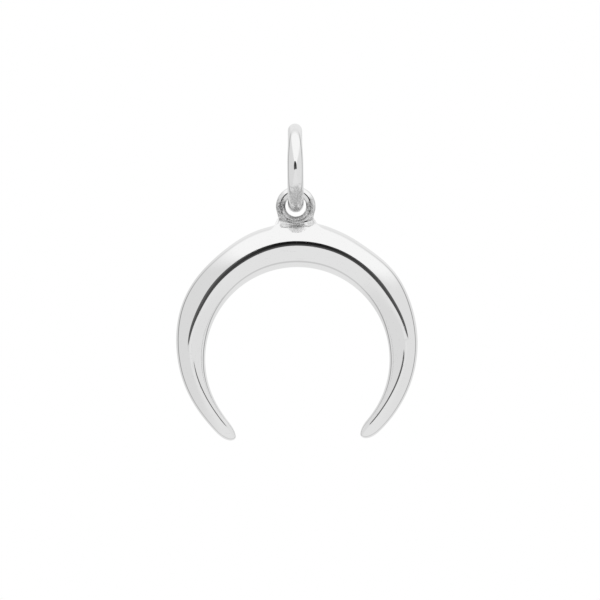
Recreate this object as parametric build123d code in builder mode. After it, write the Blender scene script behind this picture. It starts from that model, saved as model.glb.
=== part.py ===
from build123d import *
from math import cos, degrees, exp, radians, sin, sqrt
import os

# Driving dimensions of the moon, in millimetres and degrees
moon_diameter = 20.0
crown_width = 3.6
crown_depth = 3.15
horn_width = 1.3
horn_angle = 146.0
nose_length = 1.25

# The eye ring that stands on the crown, and the solder that holds it
eye_wire = 0.8
eye_play = 0.45
eye_bite = 0.2
solder_radius = 1.2
solder_foot_depth = 1.9
solder_setback = 0.12

# The bail ring that hangs on the chain
bail_diameter = 7.3
bail_wire = 1.25

# The air left where the eye hangs on the bail, a small part of the play that the bail has in the eye
hang_gap = 0.08

# The moon is finished by hand, so its outline leaves the true circle a little. Each row has the middle
# of a flat or a swelling in degrees from the crown, how far it runs on each side, and its height
# as a share of the moon's radius
OUTLINE = [
    (-130, 18, -0.009),
    (-72, 18, 0.012),
    (-40, 16, -0.016),
    (0, 14, -0.005),
    (36, 13, -0.016),
    (56, 13, 0.007),
    (128, 18, -0.004),
]

# Numbers of sections, from nose to nose of the moon and from the foot to the neck of the solder
MOON_SECTIONS = 25
SOLDER_SECTIONS = 5

# The moon's sections follow the sine of an angle that runs from the crown to nearly a quarter turn,
# so the flat left at each tip is about a tenth of a millimetre across. A share of the sine of three times
# that angle draws the sections closer together at the crown
LAST_ANGLE = 89
CROWDING = 0.08

# Radii and heights that follow from the driving dimensions, with the chain's seat as the origin
moon_radius = moon_diameter / 2
depth_share = crown_depth / crown_width
eye_hole_radius = (bail_wire + eye_play) / 2
eye_mid_radius = eye_hole_radius + eye_wire / 2
eye_radius = eye_hole_radius + eye_wire
bail_mid_radius = (bail_diameter - bail_wire) / 2
bail_centre_z = bail_wire / 2 - bail_mid_radius
hinge_z = bail_centre_z - bail_mid_radius
eye_centre_z = hinge_z + bail_wire / 2 + hang_gap - eye_hole_radius
crown_z = eye_centre_z - eye_radius + eye_bite


def outer_reach(angle):
    """Distance from the moon's centre to its outline, at an angle from the crown."""
    swelling = sum(height * exp(-(((angle - middle) / run) ** 2)) for middle, run, height in OUTLINE)
    return moon_radius * (1 + swelling)


crown_radius = outer_reach(0)
moon_centre_z = crown_z - crown_radius

# The opening is round. Its edge passes through the inner side of the crown and of both horns at their tips,
# so its centre lies below the moon's, where both are equally far away
crown_inside = crown_radius - crown_width
horn_inside = moon_radius - horn_width
side_reach = crown_inside - horn_inside * cos(radians(horn_angle))
opening_drop = (horn_inside**2 - crown_inside**2) / (2 * side_reach)
opening_radius = crown_inside + opening_drop


def opening_reach(angle):
    """Distance from the moon's centre to the edge of its opening, at an angle from the crown."""
    across = opening_drop * sin(radians(angle))
    return sqrt(opening_radius**2 - across**2) - opening_drop * cos(radians(angle))


def moon_plane(angle):
    """Plane across the moon at an angle from the crown, on its middle line, with x pointing outwards."""
    middle = (outer_reach(angle) + opening_reach(angle)) / 2
    outwards = Vector(sin(radians(angle)), 0, cos(radians(angle)))
    along = Vector(cos(radians(angle)), 0, -sin(radians(angle)))
    return Plane(Vector(0, 0, moon_centre_z) + outwards * middle, x_dir=outwards, z_dir=along)


nose_run = degrees(nose_length / (moon_plane(horn_angle).origin - Vector(0, 0, moon_centre_z)).length)


def moon_section(angle):
    """Oval section of the moon at an angle from the crown, rounded off along the nose of a horn."""
    into_nose = max(0, abs(angle) - horn_angle + nose_run) / nose_run
    half_width = (outer_reach(angle) - opening_reach(angle)) / 2 * sqrt(1 - into_nose**2)
    with BuildSketch(moon_plane(angle)) as section:
        Ellipse(half_width, half_width * depth_share)
    return section.sketch


def moon_sections():
    """Sections from the left tip over the crown to the right tip, closer together towards the tips."""
    sections = []
    for step in range(MOON_SECTIONS):
        turn = radians(LAST_ANGLE * (2 * step / (MOON_SECTIONS - 1) - 1))
        share = (sin(turn) - CROWDING * sin(3 * turn)) / (1 + CROWDING)
        sections.append(moon_section(horn_angle * share))
    return sections


# The solder's flank is an arc that touches the crown below and the eye above:
# its centre is where circles round the moon and round the eye cross
eye_height = eye_centre_z - moon_centre_z
crown_to_flank = crown_radius + solder_radius
eye_to_flank = eye_radius + solder_radius
flank_z = (crown_to_flank**2 - eye_to_flank**2 + eye_height**2) / (2 * eye_height)
flank_x = sqrt(crown_to_flank**2 - flank_z**2)
foot_z = flank_z * crown_radius / crown_to_flank
neck_z = eye_height + (flank_z - eye_height) * eye_radius / eye_to_flank


def solder_sections():
    """Oval sections of the solder, from its foot in the crown up to where it meets the eye."""
    sections = []
    for step in range(SOLDER_SECTIONS):
        climb = step / (SOLDER_SECTIONS - 1)
        height = foot_z + (neck_z - foot_z) * climb
        half_length = flank_x - sqrt(solder_radius**2 - (height - flank_z) ** 2)
        half_depth = (eye_wire + (solder_foot_depth - eye_wire) * (1 - climb) ** 2) / 2
        with BuildSketch(Plane.XY.offset(moon_centre_z + height)) as section:
            Ellipse(half_length, half_depth)
        sections.append(section.sketch)
    return sections


moon = moon_sections()
solder = solder_sections()

# The moon, its eye and their solder are one piece of silver
with BuildPart() as crescent:
    loft(sections=solder)
    with BuildSketch(Plane.XZ):
        with Locations((0, eye_centre_z)):
            Circle(eye_hole_radius + solder_setback)
    extrude(amount=solder_foot_depth, both=True, mode=Mode.SUBTRACT)
    loft(sections=moon)
    with BuildSketch(Plane.YZ):
        with Locations((0, eye_centre_z + eye_mid_radius)):
            Circle(eye_wire / 2)
    revolve(axis=Axis((0, 0, eye_centre_z), (0, 1, 0)))

# The bail is a closed ring of round wire that passes through the eye
with BuildPart() as bail:
    with BuildSketch(Plane.XZ):
        with Locations((0, bail_centre_z + bail_mid_radius)):
            Circle(bail_wire / 2)
    revolve(axis=Axis((0, 0, bail_centre_z), (1, 0, 0)))

crescent.part.label = "crescent"
bail.part.label = "bail"
os.makedirs("parts", exist_ok=True)
export_step(crescent.part, "parts/crescent.step")
export_step(bail.part, "parts/bail.step")
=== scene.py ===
# %% [markdown]
# # A crescent moon pendant in polished silver
#
# The pendant is two pieces of silver: the moon, with a small eye soldered to its crown, and the bail,
# a closed ring of thicker wire that passes through the eye and takes the chain. Both are mirror bright,
# so a picture of them is mostly a picture of the studio around them. The lesson models the metal first,
# with few faces and smooth subdivision, then its finish, and then the white tent that it reflects.

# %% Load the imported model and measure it
from math import atan2, cos, degrees, exp, hypot, pi, radians, sin, sqrt, tau

import bmesh
import bpy
from mathutils import Matrix, Vector, noise


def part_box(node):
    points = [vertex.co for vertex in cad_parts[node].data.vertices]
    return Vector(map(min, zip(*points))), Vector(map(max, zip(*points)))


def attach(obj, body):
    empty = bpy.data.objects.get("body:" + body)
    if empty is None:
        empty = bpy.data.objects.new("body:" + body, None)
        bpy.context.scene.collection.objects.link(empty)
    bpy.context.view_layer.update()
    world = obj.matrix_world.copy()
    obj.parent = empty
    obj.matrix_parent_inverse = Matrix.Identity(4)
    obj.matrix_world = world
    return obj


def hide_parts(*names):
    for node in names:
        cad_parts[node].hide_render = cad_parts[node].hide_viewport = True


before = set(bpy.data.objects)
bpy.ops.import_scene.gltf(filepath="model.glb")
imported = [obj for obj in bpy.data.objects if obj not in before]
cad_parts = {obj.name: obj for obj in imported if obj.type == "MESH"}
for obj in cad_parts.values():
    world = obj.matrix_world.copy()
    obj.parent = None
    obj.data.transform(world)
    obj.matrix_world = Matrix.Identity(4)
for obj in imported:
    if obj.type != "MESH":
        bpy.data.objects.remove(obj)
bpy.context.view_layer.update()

MM = 0.001
crescent_low, crescent_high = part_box("crescent")
bail_low, bail_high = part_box("bail")
print("crescent box, mm:", [round(size / MM, 2) for size in crescent_high - crescent_low])
print("bail box, mm:", [round(size / MM, 2) for size in bail_high - bail_low])

# %% [markdown]
# ## The sizes of the moon
#
# A crescent is what is left of a round disc when a smaller, lower round is taken out of it. On the real
# pendant the disc is a rounded tube that is thick at the crown and thin at the horns, and its outline has
# slight flats and swellings from filing and polishing by hand. Those are kept here as a short table.
# They are small, but polished metal shows them, because every reflection bends with the outline.

# %% Sizes of the moon
moon_radius = 10.0 * MM
crown_width = 3.6 * MM
crown_depth = 3.15 * MM
horn_width = 1.3 * MM
horn_depth = 1.14 * MM
horn_angle = 146.0
nose_length = 1.25 * MM

# Each row has the middle of a flat or a swelling in degrees from the crown, how far it runs on each side,
# and its height as a share of the moon's radius
HAND_FINISH = [
    (-130, 18, -0.009),
    (-72, 18, 0.012),
    (-40, 16, -0.016),
    (0, 14, -0.005),
    (36, 13, -0.016),
    (56, 13, 0.007),
    (128, 18, -0.004),
]

eye_wire = 0.8 * MM
eye_radius = 1.65 * MM
eye_bite = 0.2 * MM
eye_centre = Vector((0, 0, crescent_high.z - eye_radius))
crown_z = eye_centre.z - eye_radius + eye_bite


def swelling(angle):
    """How far the outline stands out from the true circle, at an angle from the crown."""
    return moon_radius * sum(
        height * exp(-(((angle - middle) / run) ** 2)) for middle, run, height in HAND_FINISH
    )


def outer_reach(angle):
    """Distance from the moon's centre to its outline, at an angle from the crown."""
    return moon_radius + swelling(angle)


moon_centre = Vector((0, 0, crown_z - outer_reach(0)))
crown_inside = outer_reach(0) - crown_width
horn_inside = moon_radius - horn_width
side_reach = crown_inside - horn_inside * cos(radians(horn_angle))
opening_drop = (horn_inside**2 - crown_inside**2) / (2 * side_reach)
opening_radius = crown_inside + opening_drop


def opening_reach(angle):
    """Distance from the moon's centre to the edge of its round opening, at an angle from the crown."""
    across = opening_drop * sin(radians(angle))
    return sqrt(opening_radius**2 - across**2) - opening_drop * cos(radians(angle))


print("moon centre z, mm:", round(moon_centre.z / MM, 3))
print("opening diameter, mm:", round(2 * opening_radius / MM, 3))

# %% [markdown]
# ## One ring of edges becomes the moon
#
# The moon could be a curve with a bevel and a taper, but its section is an oval that also has to be rounded
# off at the tips. Instead, one ring of edges is made at the crown and extruded again and again, each new
# ring moved to its place by a matrix. The places crowd together at the tips, where the shape turns fastest,
# and at the crown, where the eye has to be joined on. A subdivision surface draws each ring inwards a little,
# so the rings start out that much larger.

# %% Rings of the moon
RINGS_EACH_WAY = 40
AROUND_MOON = 32
CROWDING = 0.2
nose_run = degrees(nose_length / ((outer_reach(horn_angle) + opening_reach(horn_angle)) / 2))


def kept_share(steps):
    """Share of its radius that a ring of edges keeps when it is subdivided smoothly."""
    return (2 + cos(tau / steps)) / 3


def moon_angle(step):
    """Angle from the crown of a ring of the moon, for a step from minus to plus RINGS_EACH_WAY."""
    turn = pi / 2 * step / RINGS_EACH_WAY
    return horn_angle * (sin(turn) - CROWDING * sin(3 * turn)) / (1 + CROWDING)


def nose_share(angle):
    """Share of its full size that the section has, less than one only in the round nose of a horn."""
    into_nose = min(1, max(0, abs(angle) - horn_angle + nose_run) / nose_run)
    return sqrt(1 - into_nose**2)


def moon_half_width(angle):
    """Half the width of the moon's oval section."""
    return (moon_radius - opening_reach(angle)) / 2 * nose_share(angle)


def moon_half_depth(angle):
    """Half the depth of the section, which falls off faster towards the horns."""
    along = (angle / horn_angle) ** 2
    return (crown_depth * (1 - along) + horn_depth * along) / 2 * nose_share(angle)


def moon_middle(angle):
    """Distance from the moon's centre to the middle of its section."""
    return (moon_radius + opening_reach(angle)) / 2


def away_from_centre(angle):
    """Direction away from the moon's centre, at an angle from the crown."""
    return Vector((sin(radians(angle)), 0, cos(radians(angle))))


def moon_place(angle):
    """Matrix that puts a flat ring of radius one on the moon, its x pointing outwards and its y back."""
    outwards = away_from_centre(angle)
    along = Vector((outwards.z, 0, -outwards.x))
    half_width = moon_half_width(angle) / kept_share(AROUND_MOON)
    half_depth = moon_half_depth(angle) / kept_share(AROUND_MOON)
    rows = Matrix((outwards * half_width, Vector((0, half_depth, 0)), along)).transposed().to_4x4()
    rows.translation = moon_centre + outwards * moon_middle(angle)
    return rows


def extrude_ring(bm, edges, before, after):
    """Extrudes a ring of edges and moves the new ring from one place to the next."""
    grown = bmesh.ops.extrude_edge_only(bm, edges=edges)["geom"]
    verts = [part for part in grown if isinstance(part, bmesh.types.BMVert)]
    new = set(verts)
    bmesh.ops.transform(bm, matrix=after @ before.inverted(), verts=verts)
    return [part for part in grown if isinstance(part, bmesh.types.BMEdge) and set(part.verts) <= new]


silver = bmesh.new()
bmesh.ops.create_circle(silver, cap_ends=False, segments=AROUND_MOON, radius=1, matrix=moon_place(0))
crown_ring = list(silver.edges)

for side in (-1, 1):
    ring = crown_ring
    for step in range(RINGS_EACH_WAY - 1):
        here = moon_place(moon_angle(side * step))
        ahead = moon_place(moon_angle(side * (step + 1)))
        ring = extrude_ring(silver, ring, here, ahead)
    tip_angle = side * horn_angle
    tip = moon_centre + away_from_centre(tip_angle) * moon_middle(tip_angle)
    grown = bmesh.ops.extrude_edge_only(silver, edges=ring)["geom"]
    tip_verts = [part for part in grown if isinstance(part, bmesh.types.BMVert)]
    bmesh.ops.pointmerge(silver, verts=tip_verts, merge_co=tip)

print("moon rings:", 2 * RINGS_EACH_WAY - 1, "faces:", len(silver.faces))

# %% [markdown]
# The flats and swellings come last. The file only touched the outer edge, so the crest in front keeps its
# even curve, and with it the even dark line that makes the moon look round. The crest isn't quite in the
# middle, though. The polisher's wheel left it further out where the arms begin to narrow, and further in
# on the horns.

# %% Flats, swellings and the path of the crest
# Where the crest lies at the crown, as a share of the half width. Each row then has two angles from the crown
# between which the crest moves, and by what share, outwards or, below nought, inwards
CREST_AT_CROWN = 0.022
CREST_PATH = [
    (0, -45, -0.105), (-66, -92, 0.185), (-86, -132, -0.5),
    (25, 55, -0.038), (60, 92, 0.255), (88, 134, -0.6),
]


def smooth_step(value, start, end):
    """Nought before the start, one past the end, and smooth between."""
    share = min(1, max(0, (value - start) / (end - start)))
    return share * share * (3 - 2 * share)


def crest_shift(angle):
    """How far the crest lies outside the middle of the section, as a share of the half width."""
    moved = sum(share * smooth_step(angle, start, end) for start, end, share in CREST_PATH)
    return CREST_AT_CROWN + moved


# The left horn was opened a little at its tip, outwards and half as far along its curve
LEFT_TIP_OPENING = 0.09 * MM
LEFT_TIP_START = -128

# The section closes at the tips, so no half width is taken as less than this
NARROWEST = 0.2 * MM

for vert in silver.verts:
    offset = vert.co - moon_centre
    angle = degrees(atan2(offset.x, offset.z))
    outwards = Vector((offset.x, 0, offset.z)).normalized()
    along = Vector((outwards.z, 0, -outwards.x))
    opened = smooth_step(angle, LEFT_TIP_START, -horn_angle)
    vert.co += (outwards - along / 2) * LEFT_TIP_OPENING * opened
    half_width = max(moon_half_width(angle), NARROWEST)
    towards_edge = max(-1, min(1, (hypot(offset.x, offset.z) - moon_middle(angle)) / half_width))
    vert.co += outwards * crest_shift(angle) * half_width * (1 - towards_edge**2)
    vert.co += outwards * swelling(angle) * max(0, towards_edge) ** 2

for angle in (-135, -90, 0, 90, 135):
    print("crest at", angle, "degrees, share of the half width:", round(crest_shift(angle), 3))

# %% [markdown]
# ## The eye
#
# The eye is a closed ring of thin round wire that stands on the crown, seen face on. A circle spun once
# about an axis makes such a ring, with its last step merged to the first. Its faces are large, because
# the subdivision surface will round them, and its steps match those of the moon under it.

# %% Eye ring
AROUND_EYE = 16
ALONG_EYE = 32


def each_once(parts):
    """List of parts without repeats, in the order in which they come."""
    return list(dict.fromkeys(parts))


def spin_ring(bm, centre, axis, mid_radius, wire_radius, around, along):
    """A ring of round wire: a circle across the wire above the centre, spun once about the axis."""
    tangent = Vector(axis).cross(Vector((0, 0, 1)))
    across = tangent.to_track_quat("Z", "Y").to_matrix().to_4x4()
    across.translation = centre + Vector((0, 0, mid_radius / kept_share(along)))
    circle = bmesh.ops.create_circle(
        bm, cap_ends=False, segments=around, radius=wire_radius / kept_share(around), matrix=across
    )
    edges = each_once(edge for vert in circle["verts"] for edge in vert.link_edges)
    bmesh.ops.spin(
        bm, geom=circle["verts"] + edges, cent=centre, axis=axis, dvec=(0, 0, 0), angle=tau,
        space=Matrix.Identity(4), steps=along, use_merge=True, use_normal_flip=False, use_duplicate=False,
    )


eye_mid_radius = eye_radius - eye_wire / 2
spin_ring(silver, eye_centre, (0, 1, 0), eye_mid_radius, eye_wire / 2, AROUND_EYE, ALONG_EYE)
print("faces with the eye:", len(silver.faces))

# %% [markdown]
# ## Solder joins the eye to the crown
#
# Molten solder runs into the corner between two pieces and freezes as a smooth hollow fillet, so the eye
# and the moon are one skin. Two boolean solids would meet in a hard crease there. Here a window is cut in
# the crown and one in the foot of the eye, with the same number of edges, and the two are bridged.

# %% Windows and the bridge between them
WINDOW_STEPS_ALONG = 6
WINDOW_STEPS_AROUND = 3

# A point counts as the eye's up to this many times the radius of its wire
EYE_TOLERANCE = 1.05

window_angle = moon_angle(WINDOW_STEPS_ALONG)
window_turn = WINDOW_STEPS_AROUND * tau / AROUND_MOON
foot_turn = WINDOW_STEPS_ALONG * tau / ALONG_EYE
wire_turn = WINDOW_STEPS_AROUND * tau / AROUND_EYE


def in_crown_window(point):
    """True for a point of the moon's skin inside the window under the eye."""
    angle = degrees(atan2(point.x, point.z - moon_centre.z))
    off_middle = hypot(point.x, point.z - moon_centre.z) - moon_middle(angle)
    turn = atan2(point.y * crown_width / crown_depth, off_middle)
    return abs(angle) < window_angle and abs(turn) < window_turn


def in_eye_window(point):
    """True for a point of the eye's skin inside the window at its foot."""
    from_centre = point - eye_centre
    foot = atan2(from_centre.x, -from_centre.z)
    turn = atan2(from_centre.y, hypot(from_centre.x, from_centre.z) - eye_mid_radius)
    return abs(foot) < foot_turn and abs(turn) < wire_turn


def belongs_to_eye(point):
    """True for a point within the wire of the eye, and not on the moon."""
    from_centre = point - eye_centre
    off_middle = hypot(hypot(from_centre.x, from_centre.z) - eye_mid_radius, from_centre.y)
    return off_middle < eye_wire / 2 * EYE_TOLERANCE


window = []
for face in silver.faces:
    middle = face.calc_center_median()
    inside = in_eye_window(middle) if belongs_to_eye(middle) else in_crown_window(middle)
    if inside:
        window.append(face)
bmesh.ops.delete(silver, geom=window, context="FACES")
rims = [edge for edge in silver.edges if edge.is_boundary]
bridge = bmesh.ops.bridge_loops(silver, edges=rims, use_pairs=False, use_cyclic=False, use_merge=False)
struts = each_once(edge for face in bridge["faces"] for edge in face.edges if edge not in rims)
print("faces cut out:", len(window), "rim edges:", len(rims), "bridge faces:", len(bridge["faces"]))

# %% [markdown]
# The bridge starts out straight. Cut into rings that follow the surfaces at both ends, it turns into
# a hollow fillet. Real solder is never that even, so a little noise moves its points, and one larger run
# of it stands up on the right of the eye.

# %% Hollow of the solder
SOLDER_RINGS = 3
old_verts = set(silver.verts)
bmesh.ops.subdivide_edgering(
    silver, edges=struts, interp_mode="SURFACE", smooth=1.0, cuts=SOLDER_RINGS,
    profile_shape="LINEAR", profile_shape_factor=0.0,
)
solder_verts = [vert for vert in silver.verts if vert not in old_verts]
print("verts in the solder:", len(solder_verts))

# %% Lumps and a run in the solder
SOLDER_LUMP = 0.45 * MM
SOLDER_LUMP_HEIGHT = 0.05 * MM
SOLDER_SEED = 5

# Without a seed, noise vectors are shifted by the time of day and differ in each run
noise.seed_set(SOLDER_SEED)
for vert in solder_verts:
    vert.co += noise.noise_vector(vert.co / SOLDER_LUMP) * SOLDER_LUMP_HEIGHT

# The run has its angle from the crown and its length in degrees, and rises between two distances outside
# the middle of the moon's section
RUN_ANGLE, RUN_LENGTH, RUN_HEIGHT = 12, 5, 0.1 * MM
RUN_INNER, RUN_OUTER = 0.5 * MM, 1.7 * MM
for vert in silver.verts:
    offset = vert.co - moon_centre
    angle = degrees(atan2(offset.x, offset.z))
    off_middle = hypot(offset.x, offset.z) - moon_middle(angle)
    on_run = exp(-(((angle - RUN_ANGLE) / RUN_LENGTH) ** 2)) * smooth_step(off_middle, RUN_INNER, RUN_OUTER)
    if vert.co.z < crown_z:
        vert.co += away_from_centre(RUN_ANGLE) * RUN_HEIGHT * on_run
print("lumps and run, mm high:", SOLDER_LUMP_HEIGHT / MM, RUN_HEIGHT / MM)

# %% [markdown]
# ## From bmesh to object
#
# Every piece leaves its bmesh the same way: doubles are merged, normals turned outwards, faces shaded
# smooth, and a subdivision surface rounds the mesh. The object stays at the origin, with its place in
# its mesh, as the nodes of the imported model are.

# %% Helper that makes a piece
DOUBLES = 0.002 * MM
SUBDIVISIONS = 2


def make_piece(name, bm):
    """A smooth object from a bmesh, with a subdivision surface."""
    bmesh.ops.remove_doubles(bm, verts=bm.verts, dist=DOUBLES)
    bmesh.ops.recalc_face_normals(bm, faces=bm.faces)
    mesh = bpy.data.meshes.new(name)
    bm.to_mesh(mesh)
    bm.free()
    mesh.shade_smooth()
    piece = bpy.data.objects.new(name, mesh)
    bpy.context.scene.collection.objects.link(piece)
    rounding = piece.modifiers.new("rounding", "SUBSURF")
    rounding.levels = SUBDIVISIONS
    rounding.render_levels = SUBDIVISIONS
    print(name, "faces before subdivision:", len(mesh.polygons))
    return piece


moon = make_piece("moon_with_eye", silver)
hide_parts("crescent")
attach(moon, "moon")

# %% [markdown]
# ## The bail
#
# The bail is a ring of thicker wire, seen from its edge. The chain has worn it thinner at the top, where
# it bears, so the spun ring's wire is drawn in there. Each point is scaled towards the middle of the wire
# and then moved out, because the chain only rubs the inside and the outer edge stays where it was.

# %% Bail ring
BAIL_FULL_WIRE = 1.32 * MM
BAIL_WORN_WIRE = 1.18 * MM
AROUND_BAIL = 16
ALONG_BAIL = 48

# The wear starts and is full at these heights over the ring's middle, as shares of its radius
WEAR_START, WEAR_FULL = 0.1, 0.7

bail_diameter = bail_high.z - bail_low.z
bail_wire = bail_high.x - bail_low.x
bail_mid_radius = (bail_diameter - bail_wire) / 2
bail_centre = Vector((0, 0, bail_high.z - bail_diameter / 2))

bail_silver = bmesh.new()
spin_ring(
    bail_silver, bail_centre, (1, 0, 0), bail_mid_radius, BAIL_FULL_WIRE / 2, AROUND_BAIL, ALONG_BAIL
)
for vert in bail_silver.verts:
    offset = vert.co - bail_centre
    height = offset.z / hypot(offset.y, offset.z)
    on_middle = Vector((0, offset.y, offset.z)).normalized() * bail_mid_radius
    wear = smooth_step(height, WEAR_START, WEAR_FULL)
    share = 1 - (1 - BAIL_WORN_WIRE / BAIL_FULL_WIRE) * wear
    drawn_out = on_middle.normalized() * (1 - share) * BAIL_FULL_WIRE / 2
    vert.co = bail_centre + on_middle + drawn_out + (offset - on_middle) * share

print("bail wire at its thinnest, mm:", BAIL_WORN_WIRE / MM)
bail = make_piece("bail_ring", bail_silver)
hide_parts("bail")
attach(bail, "bail")

# %% [markdown]
# ## Polished silver
#
# A mirror has almost no colour of its own. What tells silver from plastic chrome is how it is worn: the
# polish varies a little from place to place, hair-fine scratches run through it, and where a torch has
# been, the solder froze with a grey, pebbled skin that the wheel didn't reach. One material holds all
# three, and it finds the soldered places by their coordinates on the object, in metres. The same grey also
# paints dark reflections on the two sides of the eye, where there is no solder.

# %% Node helpers
def plug(tree, value, socket):
    """Links an output to an input, or sets the input's value."""
    if isinstance(value, bpy.types.NodeSocket):
        tree.links.new(value, socket)
    else:
        socket.default_value = value


def calculate(tree, operation, *values):
    """Output of a math node."""
    node = tree.nodes.new("ShaderNodeMath")
    node.operation = operation
    for value, socket in zip(values, node.inputs):
        plug(tree, value, socket)
    return node.outputs["Value"]


def fade(tree, value, low, high, at_low, at_high):
    """Value that goes smoothly from at_low to at_high as the input goes from low to high."""
    node = tree.nodes.new("ShaderNodeMapRange")
    node.interpolation_type = "SMOOTHSTEP"
    for number, socket in zip((value, low, high, at_low, at_high), node.inputs):
        plug(tree, number, socket)
    return node.outputs["Result"]


# %% Helpers for the silver
SCRATCH_SIZE = 0.07 * MM
SCRATCH_EDGE = (0.62, 0.7)


def noise_texture(tree, size, detail, vector):
    """Noise with features of about a size in metres."""
    node = tree.nodes.new("ShaderNodeTexNoise")
    plug(tree, vector, node.inputs["Vector"])
    node.inputs["Scale"].default_value = 1 / size
    node.inputs["Detail"].default_value = detail
    return node.outputs["Fac"]


def patch_reach(tree, place, middle, half_size):
    """Distance from the middle of a soldered place, or of a painted reflection, in units of its half size,
    alike before and behind.
    """
    split = tree.nodes.new("ShaderNodeSeparateXYZ")
    plug(tree, place, split.inputs["Vector"])
    across = calculate(tree, "SUBTRACT", split.outputs["X"], middle[0] * MM)
    front = calculate(tree, "SUBTRACT", calculate(tree, "ABSOLUTE", split.outputs["Y"]), middle[1] * MM)
    upwards = calculate(tree, "SUBTRACT", split.outputs["Z"], middle[2] * MM)
    total = 0.0
    for offset, half in zip((across, front, upwards), half_size):
        share = calculate(tree, "DIVIDE", offset, half * MM)
        total = calculate(tree, "MULTIPLY_ADD", share, share, total)
    return calculate(tree, "SQRT", total)


def scratches(tree, place, stretch):
    """Hair-fine marks, made by drawing noise out along one direction."""
    drawn = tree.nodes.new("ShaderNodeVectorMath")
    drawn.operation = "MULTIPLY"
    plug(tree, place, drawn.inputs[0])
    drawn.inputs[1].default_value = stretch
    hairs = noise_texture(tree, SCRATCH_SIZE, 2, drawn.outputs["Vector"])
    return fade(tree, hairs, *SCRATCH_EDGE, 0.0, 1.0)


# %% [markdown]
# Everything that marks the silver is drawn first, as patterns of one number each: scratches in two
# directions, clouds of uneven polish, and the soldered places. These are ovals with ragged edges, because
# solder stops where it cooled and not along a line. Two of the ovals are painted dark reflections on the
# sides of the eye, drawn in the same way.

# %% Patterns on the silver
# Each soldered place, or place with a painted reflection: its middle and half its size in millimetres,
# before and behind the piece alike, and how grey it is
SOLDER_AND_PAINTED_REFLECTION_PATCHES = [
    ((0.05, 0.9, -6.6), (1.1, 1.5, 0.45), 0.36),
    # This row darkens a band along the groove where the foot of the eye meets the crown
    ((0.1, 0.9, -6.95), (0.8, 1.5, 0.5), 0.32),
    ((0.1, 1.0, -7.4), (0.75, 1.2, 0.45), 0.04),
    ((0.0, 0.6, -6.25), (1.8, 1.5, 0.5), 0.14),
    # These two rows are not solder: they paint dark reflections into the base colour, on the left and right
    # sides of the eye's wire
    ((-1.2, 0.0, -5.65), (0.5, 0.8, 0.85), 0.5),
    ((1.2, 0.0, -5.65), (0.45, 0.8, 0.8), 0.42),
    ((0.05, 2.4, -4.75), (0.6, 1.6, 1.35), 0.26),
    ((-1.05, 0.7, -6.75), (0.55, 1.0, 0.45), 0.1),
    ((1.3, 0.7, -6.7), (0.55, 1.0, 0.45), 0.1),
]
RAGGED_SIZE, PEBBLE_SIZE, CLOUD_SIZE = 0.25 * MM, 0.12 * MM, 2.5 * MM

# A scratch is noise drawn out along an axis, which is done by squeezing the coordinates there
LONG_IN_X, LONG_IN_Z = (0.05, 1, 0.7), (0.8, 1, 0.06)

# A patch ends raggedly, because noise is added to the distance from its middle
PATCH_INSIDE, PATCH_OUTSIDE = 1.1, 1.6

silver_finish = bpy.data.materials.new("polished silver")
silver_finish.use_nodes = True
tree = silver_finish.node_tree
surface = tree.nodes["Principled BSDF"]
place = tree.nodes.new("ShaderNodeTexCoord").outputs["Object"]

scratched = calculate(
    tree, "MAXIMUM", scratches(tree, place, LONG_IN_X), scratches(tree, place, LONG_IN_Z)
)
ragged = noise_texture(tree, RAGGED_SIZE, 3, place)
pebbles = noise_texture(tree, PEBBLE_SIZE, 4, place)
clouds = noise_texture(tree, CLOUD_SIZE, 2, place)

soldered = 0.0
solder_grey_and_painted_reflection = 0.0
for middle, half_size, greyness in SOLDER_AND_PAINTED_REFLECTION_PATCHES:
    reach = calculate(tree, "ADD", patch_reach(tree, place, middle, half_size), ragged)
    patch = fade(tree, reach, PATCH_INSIDE, PATCH_OUTSIDE, 1.0, 0.0)
    soldered = calculate(tree, "MAXIMUM", soldered, patch)
    solder_grey_and_painted_reflection = calculate(tree, "MAXIMUM", solder_grey_and_painted_reflection, calculate(tree, "MULTIPLY", patch, greyness))
print("soldered places:", len(SOLDER_AND_PAINTED_REFLECTION_PATCHES))

# %% [markdown]
# The patterns now reach the shader. Polish is low roughness, a little higher in clouds, in scratches, on
# solder and on the painted reflections at the eye's sides. The pebbles darken these places in specks and
# raise their skin. Being metal is one constant, so it is set on the shader itself.

# %% Roughness, tone and relief
FINEST_POLISH, DULLEST_POLISH = 0.02, 0.045
SOLDER_ROUGHNESS, SCRATCH_ROUGHNESS = 0.3, 0.08
SILVER_TONE, SCRATCH_TONE = 0.95, 0.03
PEBBLE_HEIGHT, PEBBLE_STRENGTH = 0.02 * MM, 0.9
CLOUD_EDGE = (0.35, 0.65)
SPECK_EDGE, SPECK_CONTRAST = (0.38, 0.62), (1.5, 0.5)

rough = fade(tree, clouds, *CLOUD_EDGE, FINEST_POLISH, DULLEST_POLISH)
rough = calculate(tree, "MULTIPLY_ADD", soldered, SOLDER_ROUGHNESS, rough)
rough = calculate(tree, "MULTIPLY_ADD", scratched, SCRATCH_ROUGHNESS, rough)
plug(tree, rough, surface.inputs["Roughness"])

# The grey darkens the base colour: the solder's own grey, and painted dark reflections on the eye's sides
speckled = calculate(tree, "MULTIPLY", solder_grey_and_painted_reflection, fade(tree, pebbles, *SPECK_EDGE, *SPECK_CONTRAST))
tone = calculate(tree, "MULTIPLY_ADD", speckled, -SILVER_TONE, SILVER_TONE)
tone = calculate(tree, "MULTIPLY_ADD", scratched, -SCRATCH_TONE, tone)
plug(tree, tone, surface.inputs["Base Color"])

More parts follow.
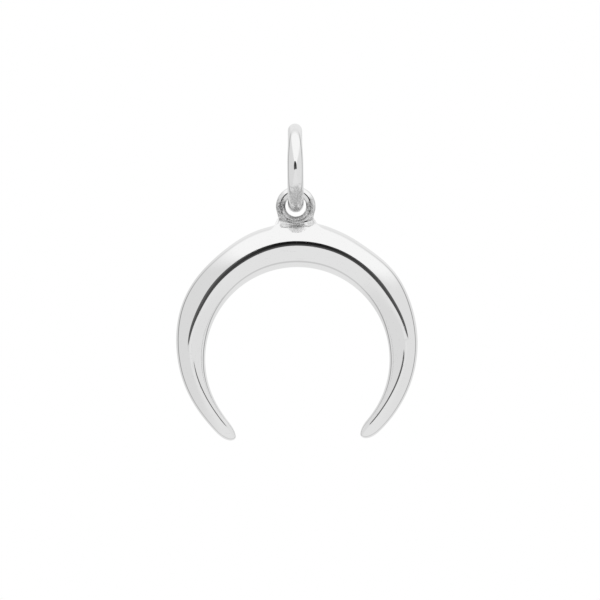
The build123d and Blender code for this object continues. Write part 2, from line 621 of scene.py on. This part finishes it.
bump = tree.nodes.new("ShaderNodeBump")
bump.inputs["Distance"].default_value = PEBBLE_HEIGHT
plug(tree, pebbles, bump.inputs["Height"])
plug(tree, calculate(tree, "MULTIPLY", soldered, PEBBLE_STRENGTH), bump.inputs["Strength"])
plug(tree, bump.outputs["Normal"], surface.inputs["Normal"])

surface.inputs["Metallic"].default_value = 1.0

for piece in (moon, bail):
    piece.data.materials.append(silver_finish)
print("nodes in the silver:", len(tree.nodes))

# %% [markdown]
# ## A white tent
#
# Jewellery is photographed in a tent of white cloth, so that the metal has only white to reflect. The one
# dark thing left is the camera, looking in through a slit, and it draws the dark line along the crest of
# the moon. Cards and strips of paper could stand near the metal to draw more lines on it, but they would
# belong to one view and one pose only. Here the world holds the whole tent, by direction alone: the camera
# sees plain white, and the silver sees cloth that is brighter above than below, one seam, and the slit.
#
# On a world, Generated coordinates are the direction looked in. All angles below are in degrees. The azimuth
# runs to the right from the line to the lens and the elevation up from it. The clock tells in which direction
# a place lies off that line, with nought straight up, and the last angle tells how far off it lies.

# %% Directions in the tent
tent = bpy.data.worlds.new("white tent")
tent.use_nodes = True
bpy.context.scene.world = tent
sky = tent.node_tree
cloth = sky.nodes["Background"]
split = sky.nodes.new("ShaderNodeSeparateXYZ")
plug(sky, sky.nodes.new("ShaderNodeTexCoord").outputs["Generated"], split.inputs["Vector"])
sideways, backwards, upwards = (split.outputs[axis] for axis in "XYZ")
to_lens = calculate(sky, "MULTIPLY", backwards, -1.0)
azimuth = calculate(sky, "DEGREES", calculate(sky, "ARCTAN2", sideways, to_lens))
elevation = calculate(sky, "DEGREES", calculate(sky, "ARCSINE", upwards))
off_axis = calculate(sky, "DEGREES", calculate(sky, "ARCCOSINE", to_lens))
clock = calculate(sky, "DEGREES", calculate(sky, "ARCTAN2", sideways, upwards))
round_clock = calculate(sky, "ABSOLUTE", clock)
print("nodes that measure directions:", len(sky.nodes))

# %% [markdown]
# The tent is a box around the line from the lens to the pendant. Seen along that line, its top, its two
# sides and its floor are sectors of a clock, and each has its own brightness. Real walls meet in soft folds,
# so every sector fades into the next.

# %% Walls
TOP_LIGHT, BACK_LIGHT, RIGHT_LIGHT, LEFT_LIGHT, FLOOR_LIGHT = 0.965, 0.83, 0.77, 0.725, 0.795
TOP_TO_BACK, TOP_TO_RIGHT, LEFT_TO_TOP, SIDES_TO_FLOOR = (98, 112), (48, 66), (-50, -34), (125, 145)
top_wall = fade(sky, off_axis, *TOP_TO_BACK, TOP_LIGHT, BACK_LIGHT)
right_wall = fade(sky, clock, *TOP_TO_RIGHT, top_wall, RIGHT_LIGHT)
left_wall = fade(sky, clock, *LEFT_TO_TOP, LEFT_LIGHT, top_wall)
walls = calculate(sky, "MINIMUM", right_wall, left_wall)
below = fade(sky, round_clock, *SIDES_TO_FLOOR, 0.0, 1.0)
walls = calculate(sky, "MULTIPLY_ADD", below, calculate(sky, "SUBTRACT", FLOOR_LIGHT, walls), walls)
print("brightest and darkest wall:", TOP_LIGHT, LEFT_LIGHT)

# %% [markdown]
# A seam runs round the tent where the back wall is sewn on. It draws the fine grey line that follows every
# edge of the metal. It is gathered, and so darkest, at the sides, and it lies further forward on the floor.

# %% Seam
SEAM_AT_SIDES, SEAM_AT_FLOOR = 118, 88
SEAM_HALF_WIDTH, SEAM_SOFTNESS = 6, 3
SHADE_ABOVE, SHADE_AT_SIDES, SHADE_BELOW = 0.04, 0.6, 0.24
SEAM_MOVES, SHADE_GATHERS, SHADE_LETS_GO = (95, 165), (25, 75), (100, 145)
seam_angle = fade(sky, round_clock, *SEAM_MOVES, SEAM_AT_SIDES, SEAM_AT_FLOOR)
from_seam = calculate(sky, "ABSOLUTE", calculate(sky, "SUBTRACT", off_axis, seam_angle))
seam = fade(
    sky, from_seam, SEAM_HALF_WIDTH - SEAM_SOFTNESS, SEAM_HALF_WIDTH + SEAM_SOFTNESS, 1.0, 0.0
)
shade_over_sides = fade(sky, round_clock, *SHADE_GATHERS, SHADE_ABOVE, SHADE_AT_SIDES)
shade_under_sides = fade(sky, round_clock, *SHADE_LETS_GO, SHADE_AT_SIDES, SHADE_BELOW)
seam = calculate(sky, "MULTIPLY", seam, calculate(sky, "MINIMUM", shade_over_sides, shade_under_sides))
walls = calculate(sky, "MULTIPLY", walls, calculate(sky, "SUBTRACT", 1.0, seam))
print("seam, degrees off the line of sight:", SEAM_AT_SIDES, "at the sides,", SEAM_AT_FLOOR, "on the floor")

# %% [markdown]
# The slit with the lens is a dark dome over a sloping foot, and it hangs a little askew. Cloth overlaps its
# sides and its foot, so it pales towards them. The horns taper, and so the crest low on the arms mirrors
# what is below the foot, and the dark line ends there by itself.

# %% Slit with the lens
LENS_HALF = (21.5, 16.2)
LENS_TILT = radians(-15)
LENS_FOOT, FOOT_SLOPE, FOOT_SOFTNESS = -5.1, 0.052, 0.4
LENS_LIGHT, SIDE_LIGHT, FOOT_LIGHT = 0.0095, 0.11, 0.07
PALE_TO_SIDES, PALE_AT_FOOT = (2, 16), (-2, 6)

# The dome fades out where the square of the distance from its middle, in half sizes, is about one
LENS_EDGE = (0.94, 1.06)

lens_reach = 0.0
for turn, half in zip((0, pi / 2), LENS_HALF):
    on_axis = calculate(sky, "MULTIPLY", azimuth, cos(LENS_TILT + turn) / half)
    on_axis = calculate(sky, "MULTIPLY_ADD", elevation, sin(LENS_TILT + turn) / half, on_axis)
    lens_reach = calculate(sky, "MULTIPLY_ADD", on_axis, on_axis, lens_reach)
dome = fade(sky, lens_reach, *LENS_EDGE, 1.0, 0.0)
above_foot = calculate(sky, "MULTIPLY_ADD", azimuth, -FOOT_SLOPE, elevation)
lens = calculate(
    sky, "MULTIPLY", dome,
    fade(sky, above_foot, LENS_FOOT - FOOT_SOFTNESS, LENS_FOOT + FOOT_SOFTNESS, 0.0, 1.0),
)
lens_light = calculate(
    sky, "MAXIMUM",
    fade(sky, calculate(sky, "ABSOLUTE", azimuth), *PALE_TO_SIDES, LENS_LIGHT, SIDE_LIGHT),
    fade(sky, above_foot, *PALE_AT_FOOT, FOOT_LIGHT, LENS_LIGHT),
)
seen_by_silver = calculate(sky, "MULTIPLY_ADD", lens, calculate(sky, "SUBTRACT", lens_light, walls), walls)
print("dome, degrees wide and high:", [2 * half for half in LENS_HALF], "cut off at", LENS_FOOT)

# %% Plain white behind the pendant
seen_by_camera = sky.nodes.new("ShaderNodeLightPath").outputs["Is Camera Ray"]
plug(sky, calculate(sky, "MAXIMUM", seen_by_silver, seen_by_camera), cloth.inputs["Strength"])
cloth.inputs["Color"].default_value = (1, 1, 1, 1)
print("nodes in the tent:", len(sky.nodes))

# %% [markdown]
# ## The floor
#
# The tent stands on white paper, well under the pendant. It glows a little, as paper does that is lit from
# all sides. The world already holds the floor that the silver mirrors, so this sheet is kept out of its
# reflections. It belongs to the stage, because it isn't part of the pendant.

# %% Floor
FLOOR_HALF_SIZE, FLOOR_DROP = 2.0, 0.2
PAPER_ROUGHNESS, PAPER_GLOW = 0.9, 0.4
floor_mesh = bpy.data.meshes.new("floor")
sheet = bmesh.new()
bmesh.ops.create_grid(
    sheet, x_segments=1, y_segments=1, size=FLOOR_HALF_SIZE,
    matrix=Matrix.Translation((0, 0, -FLOOR_DROP)),
)
sheet.to_mesh(floor_mesh)
sheet.free()
floor = bpy.data.objects.new("floor", floor_mesh)
bpy.context.scene.collection.objects.link(floor)
paper = bpy.data.materials.new("white paper")
paper.use_nodes = True
paper_surface = paper.node_tree.nodes["Principled BSDF"]
paper_surface.inputs["Base Color"].default_value = (1, 1, 1, 1)
paper_surface.inputs["Roughness"].default_value = PAPER_ROUGHNESS
paper_surface.inputs["Emission Color"].default_value = (1, 1, 1, 1)
paper_surface.inputs["Emission Strength"].default_value = PAPER_GLOW
floor_mesh.materials.append(paper)
floor.visible_glossy = False
print("floor under the chain's seat, m:", FLOOR_DROP)

# %% [markdown]
# ## The camera
#
# The photograph was taken from far away with a long lens, level with the moon, and the pendant hangs
# a little over half a degree askew in it.

# %% Camera
CAMERA_DISTANCE = 0.4
SENSOR_WIDTH = 36
FRAME_WIDTH = 49.75 * MM
VIEW_CENTRE = Vector((0.27, 0, -13.35)) * MM
LEAN = radians(0.6)
NEAREST, FARTHEST = 0.01, 20

camera_data = bpy.data.cameras.new("camera")
camera_data.sensor_width = SENSOR_WIDTH
camera_data.lens = SENSOR_WIDTH * CAMERA_DISTANCE / FRAME_WIDTH
camera_data.clip_start = NEAREST
camera_data.clip_end = FARTHEST
camera = bpy.data.objects.new("camera", camera_data)
right = Vector((cos(LEAN), 0, -sin(LEAN)))
up = Vector((sin(LEAN), 0, cos(LEAN)))
back = Vector((0, -1, 0))
camera.matrix_world = (
    Matrix.Translation(VIEW_CENTRE + back * CAMERA_DISTANCE)
    @ Matrix((right, up, back)).transposed().to_4x4()
)
bpy.context.scene.collection.objects.link(camera)
bpy.context.scene.camera = camera
bpy.context.scene.view_settings.view_transform = "Standard"
print("lens, mm:", round(camera_data.lens, 1))
